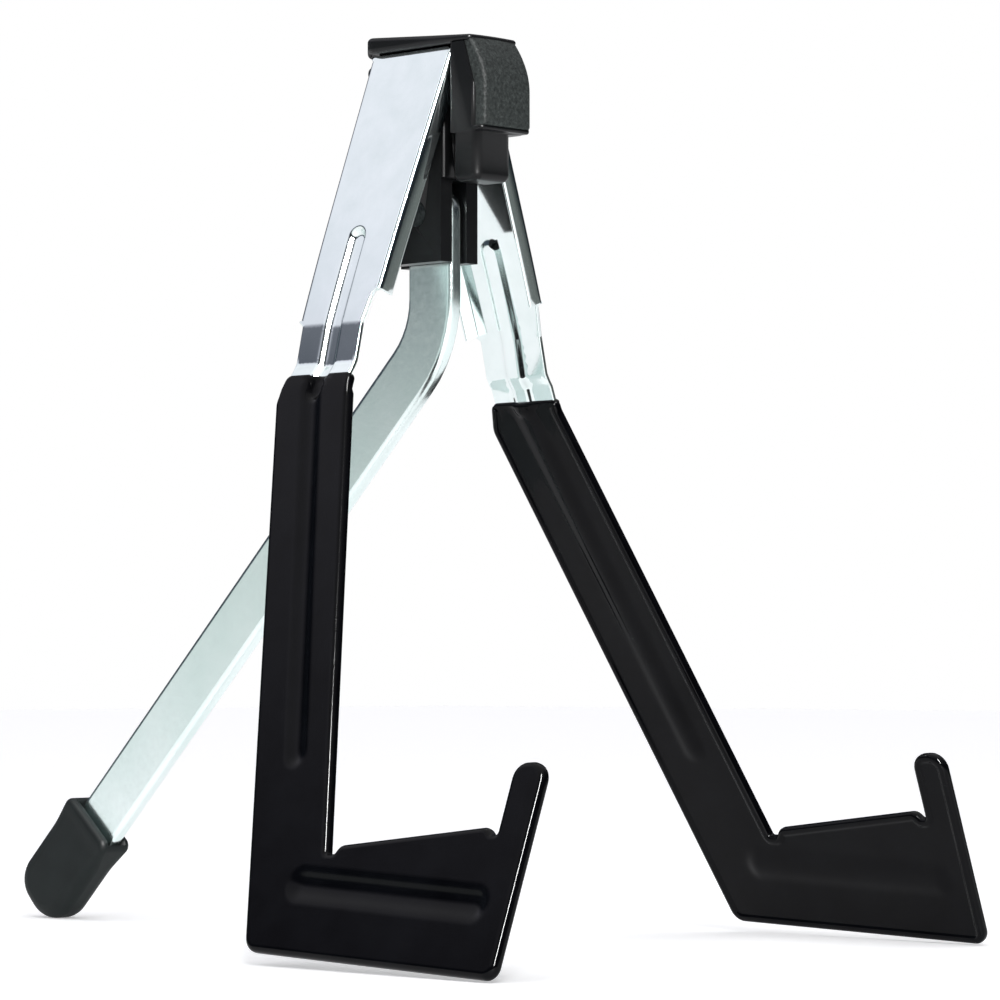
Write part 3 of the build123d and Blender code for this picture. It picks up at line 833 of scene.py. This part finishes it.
def build_boot():
    """Rubber boot with pillowed sides, a lip round its mouth and the socket for the strap."""
    low = BOOT_OFFSET - BOOT_WIDTH / 2
    high = BOOT_OFFSET + BOOT_WIDTH / 2
    low_mouth = BOOT_MOUTH - BOOT_RAKE
    end = (on_run(0, low + BOOT_LOW_R)[1] - BOOT_LOW_R) / -RUN[1] + BOOT_LOW_R
    corners = [
        (*on_run(low_mouth, low), BOOT_MOUTH_R),
        (*on_run(BOOT_MOUTH, high), BOOT_MOUTH_R),
        (*on_run(end, high), BOOT_HIGH_R),
        (*on_run(end, low), BOOT_LOW_R),
    ]

    def from_mouth(y, z):
        """Distance inside the boot's raked mouth."""
        height = (y - KNEE[0]) * RISE[0] + (z - KNEE[1]) * RISE[1]
        return run_place(y, z) - low_mouth - BOOT_RAKE * (height - low) / BOOT_WIDTH

    def half_depth(y, z):
        """Half the boot's thickness, full at the lip."""
        distance = from_mouth(y, z)
        return BOOT_DEPTH / 2 - BOOT_LIP * ease(distance, BOOT_LIP_LENGTH, BOOT_LIP_LENGTH + 4)

    def edge_at(y, z):
        """Edge profile, rounder away from the mouth."""
        rounding = 2.3 + 2.4 * float(ease(from_mouth(y, z), 3.0, 16.0))
        return edge_profile(2 * float(half_depth(y, z)), rounding)

    rim = {"points": np.array([on_run(low_mouth + BOOT_RAKE * k / 24 + d, low + BOOT_WIDTH * k / 24)
                               for k in range(25) for d in (2.2, 3.2, 3.8, 4.4, 5.4)]),
           "clear": lambda p: from_mouth(p[:, 0], p[:, 1]) > 6.5}
    vertices, faces = pressed_sheet(corners, edge_at, half_depth, lambda y, z: -half_depth(y, z),
                                    0.6, [rim], 3.0)
    boot = make_object("rear_boot_skin", vertices + (0, Y_SHIFT, 0), faces, BOOT_RUBBER)
    below, above = -STRAP_WIDTH / 2 - SOCKET_LOW, STRAP_WIDTH / 2 + SOCKET_HIGH
    opening, bottom = low_mouth - 8, low_mouth + SOCKET_DEPTH
    socket = [on_run(opening, below), on_run(opening, above), on_run(bottom, above), on_run(bottom, below)]
    carve(boot, prism(socket, -STRAP_DEPTH / 2 - SOCKET_SIDE, STRAP_DEPTH / 2 + SOCKET_SIDE))
    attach(boot, "rear_leg")
    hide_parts("rear_boot")


def pad_back(z):
    """Drawn y of the housing's front under the pad: upright, then sloping back to the roof."""
    return PAD_BACK_Y + max(0.0, z - PAD_BREAK_Z) * (PAD_ROLL - 2.0) / (PAD_TOP_Z - PAD_BREAK_Z)


def build_housing():
    """Head moulding from its solid, sloped back under the pad's top and cut away where the legs swing."""
    node = frame["nodes"]["head_body"]
    mesh = node.data.copy()
    mesh.transform(node.matrix_world)
    body = bpy.data.objects.new("head_body_skin", mesh)
    bpy.context.scene.collection.objects.link(body)
    weld = bmesh.new()
    weld.from_mesh(mesh)
    bmesh.ops.remove_doubles(weld, verts=weld.verts, dist=1e-6)
    weld.to_mesh(mesh)
    weld.free()
    skim, past = 0.01, 6
    nose = [(PAD_BACK_Y - past, PAD_BREAK_Z), (pad_back(PAD_BREAK_Z) - skim, PAD_BREAK_Z),
            (pad_back(PAD_TOP_Z) - skim, PAD_TOP_Z), (pad_back(PAD_TOP_Z), PAD_TOP_Z + past),
            (PAD_BACK_Y - past, PAD_TOP_Z + past)]
    carve(body, prism(nose, -CUT_HALF, CUT_HALF))
    carve(body, prism(box_outline(CHEEK_TRIM_Y, CHEEK_TRIM_Z), -CUT_HALF, CUT_HALF))
    near, far = FLANGE_ROOM_X
    for x_low, x_high in ((-far, -near), (near, far)):
        carve(body, prism(box_outline(FLANGE_ROOM_Y, FLANGE_ROOM_Z), x_low, x_high))
    body.data.materials.clear()
    body.data.materials.append(PLASTIC)
    body.data.polygons.foreach_set("use_smooth", [True] * len(body.data.polygons))
    body.data.polygons.foreach_set("material_index", [0] * len(body.data.polygons))
    body.data.set_sharp_from_angle(angle=radians(HEAD_SMOOTH_ANGLE))
    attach(body, "head")
    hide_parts("head_body")


def build_roof():
    """Roof plate with soft edges, a slight forward slope and a lip turned down at its very rear."""
    corners = [(-HEAD_HALF, PAD_BACK_Y + 2.5, 1.9), (HEAD_HALF, PAD_BACK_Y + 2.5, 1.9),
               (HEAD_HALF, ROOF_REAR_Y, 6.5), (-HEAD_HALF, ROOF_REAR_Y, 6.5)]
    middle = (PAD_BACK_Y + ROOF_REAR_Y) / 2

    def top(x, y):
        """Height of the upper face."""
        crown = ROOF_CROWN * (np.asarray(x) / HEAD_HALF) ** 2
        return ROOF_TOP_Z - 0.2 + ROOF_TILT * (y - middle) - crown

    def under(x, y):
        """Height of the lower face."""
        return ROOF_TOP_Z - ROOF_T - ROOF_LIP * ease(y, *ROOF_LIP_Y) + 0 * np.asarray(x)

    def edge_at(x, y):
        """Edge profile for the plate's thickness there."""
        return edge_profile(float(top(x, y) - under(x, y)), ROOF_EDGE_R)

    vertices, faces = pressed_sheet(corners, edge_at, top, under, ROOF_EDGE_R, [], 3.0)
    vertices = vertices[:, [1, 2, 0]] + (0, Y_SHIFT, 0)
    roof = make_object("head_cap_skin", vertices, faces, PLASTIC)
    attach(roof, "head")
    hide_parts("head_cap")


def build_pad():
    """Rubber pad: soft edges, a slight crown and a face that rolls back at the top."""
    front = PAD_BACK_Y - PAD_T
    path = [(front, PAD_LOW_Z + k * (PAD_BREAK_Z - PAD_LOW_Z) / 16) for k in range(17)]
    rise = PAD_TOP_Z - PAD_BREAK_Z
    path += [(front + PAD_ROLL * t ** 1.9, PAD_BREAK_Z + rise * t) for t in np.linspace(0, 1, 17)[1:]]
    path = np.array(path)
    step = np.gradient(path, axis=0)
    inward = np.column_stack([step[:, 1], -step[:, 0]]) / np.linalg.norm(step, axis=1)[:, None]
    lengths = np.concatenate([[0], np.cumsum(np.linalg.norm(np.diff(path, axis=0), axis=1))])
    total = lengths[-1]
    edge = PAD_EDGE_R
    bends = edge * (1 - np.cos(SHORT_QUARTER))
    across = np.concatenate([-PAD_HALF + bends, np.linspace(-PAD_HALF + edge, PAD_HALF - edge, 17)[1:-1],
                             (PAD_HALF - bends)[::-1]])
    rows = np.concatenate([bends, np.linspace(edge, total - edge, 29)[1:-1], (total - bends)[::-1]])
    vertices = []
    for v in rows:
        y = np.interp(v, lengths, path[:, 0])
        z = np.interp(v, lengths, path[:, 1])
        n = np.array([np.interp(v, lengths, inward[:, 0]), np.interp(v, lengths, inward[:, 1])])
        for x in across:
            gap_u = min(edge, PAD_HALF - abs(x))
            gap_v = min(edge, v, total - v)
            sink = 2 * edge - sum(sqrt(max(edge ** 2 - (edge - g) ** 2, 0)) for g in (gap_u, gap_v))
            sink = min(sink, edge) + PAD_CROWN * (x / PAD_HALF) ** 2
            vertices.append((x, y + n[0] * sink, z + n[1] * sink))
    wide, tall = len(across), len(rows)
    faces = [(r * wide + c, r * wide + c + 1, (r + 1) * wide + c + 1, (r + 1) * wide + c)
             for r in range(tall - 1) for c in range(wide - 1)]
    ring = list(range(wide)) + [r * wide + wide - 1 for r in range(1, tall)]
    ring += [(tall - 1) * wide + c for c in range(wide - 2, -1, -1)]
    ring += [r * wide for r in range(tall - 2, 0, -1)]
    first = len(vertices)
    vertices += [(vertices[i][0], pad_back(vertices[i][2]), vertices[i][2]) for i in ring]
    count = len(ring)
    faces += [(ring[i], ring[(i + 1) % count], first + (i + 1) % count, first + i) for i in range(count)]
    faces.append(tuple(first + i for i in range(count)))
    pad = make_object("rubber_pad_skin", np.array(vertices) + (0, Y_SHIFT, 0), faces, PAD_RUBBER)
    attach(pad, "head")
    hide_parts("rubber_pad")


build_legs()
build_strap()
build_boot()
build_housing()
build_roof()
build_pad()

# pieces kept as the CAD has them
for node, material in (("rear_leg_pivot", RIVET),
                       ("left_hinge_pin", RIVET), ("right_hinge_pin", RIVET),
                       ("left_friction_washer", NYLON), ("right_friction_washer", NYLON)):
    for item in frame["nodes"][node].material_slots:
        item.material = material


# ---- stage, light and camera --------------------------------------------------------------------
def build_stage():
    """Plain pale floor."""
    mesh = bpy.data.meshes.new("floor")
    reach = 6.0
    around = [(-reach, -reach, 0), (reach, -reach, 0), (reach, reach, 0), (-reach, reach, 0)]
    mesh.from_pydata(around, [], [(0, 1, 2, 3)])
    material, nodes, links, shader = new_material("pale_floor", Roughness=0.7, Emission_Strength=0.32)
    shader.inputs["Base Color"].default_value = (0.95, 0.95, 0.95, 1)
    shader.inputs["Emission Color"].default_value = (1.0, 1.0, 1.0, 1.0)
    mesh.materials.append(material)
    floor = bpy.data.objects.new("floor", mesh)
    bpy.context.scene.collection.objects.link(floor)


def area_light(name, place_at, target, size, power):
    """White rectangular light that faces a target."""
    light = bpy.data.lights.new(name, "AREA")
    light.shape = "RECTANGLE"
    light.size, light.size_y = size
    light.energy = power
    obj = bpy.data.objects.new(name, light)
    obj.location = place_at
    obj.rotation_euler = (Vector(target) - Vector(place_at)).to_track_quat("-Z", "Y").to_euler()
    bpy.context.scene.collection.objects.link(obj)
    return obj


def mix(nodes, links, blend, first, second):
    """Full-strength colour blend of two sockets."""
    node = nodes.new("ShaderNodeMix")
    node.data_type = "RGBA"
    node.blend_type = blend
    node.inputs[0].default_value = 1.0
    links.new(first, node.inputs[6])
    links.new(second, node.inputs[7])
    return node.outputs[2]


def build_light():
    """Soft studio with a strip light beside the camera.

    The surround is white to the camera. In reflections it is pale below the horizon, dark above it and bright
    overhead, and darker at both sides and in front.
    """
    world = bpy.data.worlds.new("studio")
    bpy.context.scene.world = world
    world.use_nodes = True
    nodes, links = world.node_tree.nodes, world.node_tree.links
    background = nodes["Background"]
    direction = nodes.new("ShaderNodeTexCoord").outputs["Generated"]
    split = nodes.new("ShaderNodeSeparateXYZ")
    links.new(direction, split.inputs["Vector"])
    height = nodes.new("ShaderNodeMapRange")
    height.inputs["From Min"].default_value = -1.0
    links.new(split.outputs["Z"], height.inputs["Value"])
    shades = ramp(nodes, links, height.outputs["Result"], [
        (0.0, (0.92, 0.95, 0.94)), (0.525, (0.80, 0.86, 0.84)), (0.545, (0.07, 0.09, 0.11)),
        (0.665, (0.04, 0.05, 0.07)), (0.70, (0.36, 0.36, 0.42)), (0.74, (0.97, 0.96, 1.06)),
        (1.0, (1.4, 1.4, 1.4))])
    facing = nodes.new("ShaderNodeVectorMath")
    facing.operation = "DOT_PRODUCT"
    facing.inputs[1].default_value = (-0.714, 0.70, 0.0)
    links.new(direction, facing.inputs[0])
    side = nodes.new("ShaderNodeMath")
    side.operation = "ABSOLUTE"
    links.new(facing.outputs["Value"], side.inputs[0])
    aside = ramp(nodes, links, side.outputs["Value"], [(0.30, (0.07, 0.08, 0.09)), (0.64, (1.0, 1.0, 1.0))])
    overhead = ramp(nodes, links, height.outputs["Result"], [(0.80, (0.0, 0.0, 0.0)), (0.92, (1.0, 1.0, 1.0))])
    shaded = mix(nodes, links, "MULTIPLY", shades, mix(nodes, links, "LIGHTEN", aside, overhead))
    front_side = nodes.new("ShaderNodeMapRange")
    front_side.inputs["From Min"].default_value = -0.75
    front_side.inputs["From Max"].default_value = -0.45
    front_side.inputs["To Min"].default_value = 0.22
    links.new(facing.outputs["Value"], front_side.inputs["Value"])
    lit = mix(nodes, links, "MULTIPLY", shaded, front_side.outputs["Result"])
    rays = nodes.new("ShaderNodeLightPath")
    plain = nodes.new("ShaderNodeMix")
    plain.data_type = "RGBA"
    links.new(rays.outputs["Is Camera Ray"], plain.inputs[0])
    links.new(lit, plain.inputs[6])
    plain.inputs[7].default_value = (1.0, 1.0, 1.0, 1.0)
    links.new(plain.outputs[2], background.inputs["Color"])
    middle = (0, 0, 0.15)
    strip = area_light("strip", (-1.35, -1.58, 1.40), middle, (0.2, 1.5), 360)
    strip.visible_diffuse = False
    area_light("key", (-0.9, -1.2, 1.4), middle, (0.5, 0.5), 8)
    bpy.context.scene.view_settings.view_transform = "Standard"


def build_camera():
    """Camera low at the stand's left front, with a long lens."""
    camera = bpy.data.cameras.new("camera")
    camera.lens = 150.97
    camera.sensor_width = 36.0
    camera.clip_end = 50.0
    obj = bpy.data.objects.new("camera", camera)
    direction = Vector((0.7136, 0.6994, 0.0394)).normalized()
    obj.location = Vector((-1.0236, -0.9943 + Y_SHIFT * MM, 0.0957))
    obj.rotation_euler = direction.to_track_quat("-Z", "Y").to_euler()
    bpy.context.scene.collection.objects.link(obj)
    bpy.context.scene.camera = obj


build_stage()
build_light()
build_camera()
